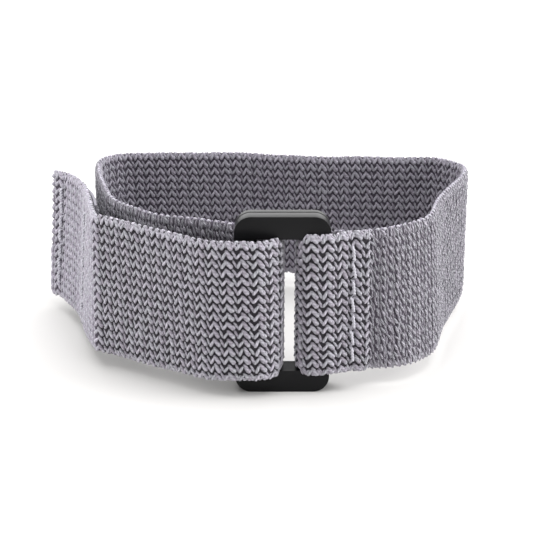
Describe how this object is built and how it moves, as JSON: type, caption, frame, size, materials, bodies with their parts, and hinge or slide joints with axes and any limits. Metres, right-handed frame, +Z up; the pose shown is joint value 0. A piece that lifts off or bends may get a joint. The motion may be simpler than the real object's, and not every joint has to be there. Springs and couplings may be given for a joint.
{
  "type": "esd wrist strap",
  "caption": "Adjustable elastic wrist band with a sewn-on rectangular ring, threaded back over the ring into a tail with a hook patch.",
  "frame": {"origin": "centre of the footprint, on the plane that the ring's lower end stands on", "axes": "+X from the tail's side to the sewn flap's side, +Y from the ring to the back of the loop, +Z up across the webbing's width"},
  "size_m": [0.0662, 0.0498, 0.0257],
  "materials": {
    "webbing": "ribbed knitted elastic, matt",
    "hook_tape": "woven tape with nylon hooks",
    "thread": "polyester sewing thread, slight sheen",
    "ring_plastic": "moulded black plastic, satin gloss"
  },
  "bodies": {
    "band": {"strap_band": "webbing", "strap_fold": "webbing", "flap_seam_needle_thread": "thread", "flap_seam_bobbin_thread": "thread"},
    "ring": {"buckle_frame": "ring_plastic"},
    "tail": {"strap_tail": "webbing"},
    "tip": {"tail_tip": "webbing", "hook_patch": "hook_tape", "hook_front_seam_needle_thread": "thread", "hook_front_seam_bobbin_thread": "thread", "hook_rear_seam_needle_thread": "thread", "hook_rear_seam_bobbin_thread": "thread"}
  },
  "joints": [
    {"name": "ring_swing", "type": "hinge", "parent": "band", "child": "ring", "pos_m": [0.00824, -0.02019, 0.01285], "axis": [0, 0, 1], "range_deg": [-11, 11]},
    {"name": "tail_peel", "type": "hinge", "parent": "band", "child": "tail", "pos_m": [-0.00126, -0.02019, 0.01285], "axis": [0, 0, 1], "range_deg": [0, 100], "deforming": ["strap_fold"]},
    {"name": "tip_peel", "type": "hinge", "parent": "tail", "child": "tip", "pos_m": [-0.02426, -0.01203, 0.01285], "axis": [0, 0, 1], "range_deg": [0, 60]}
  ]
}
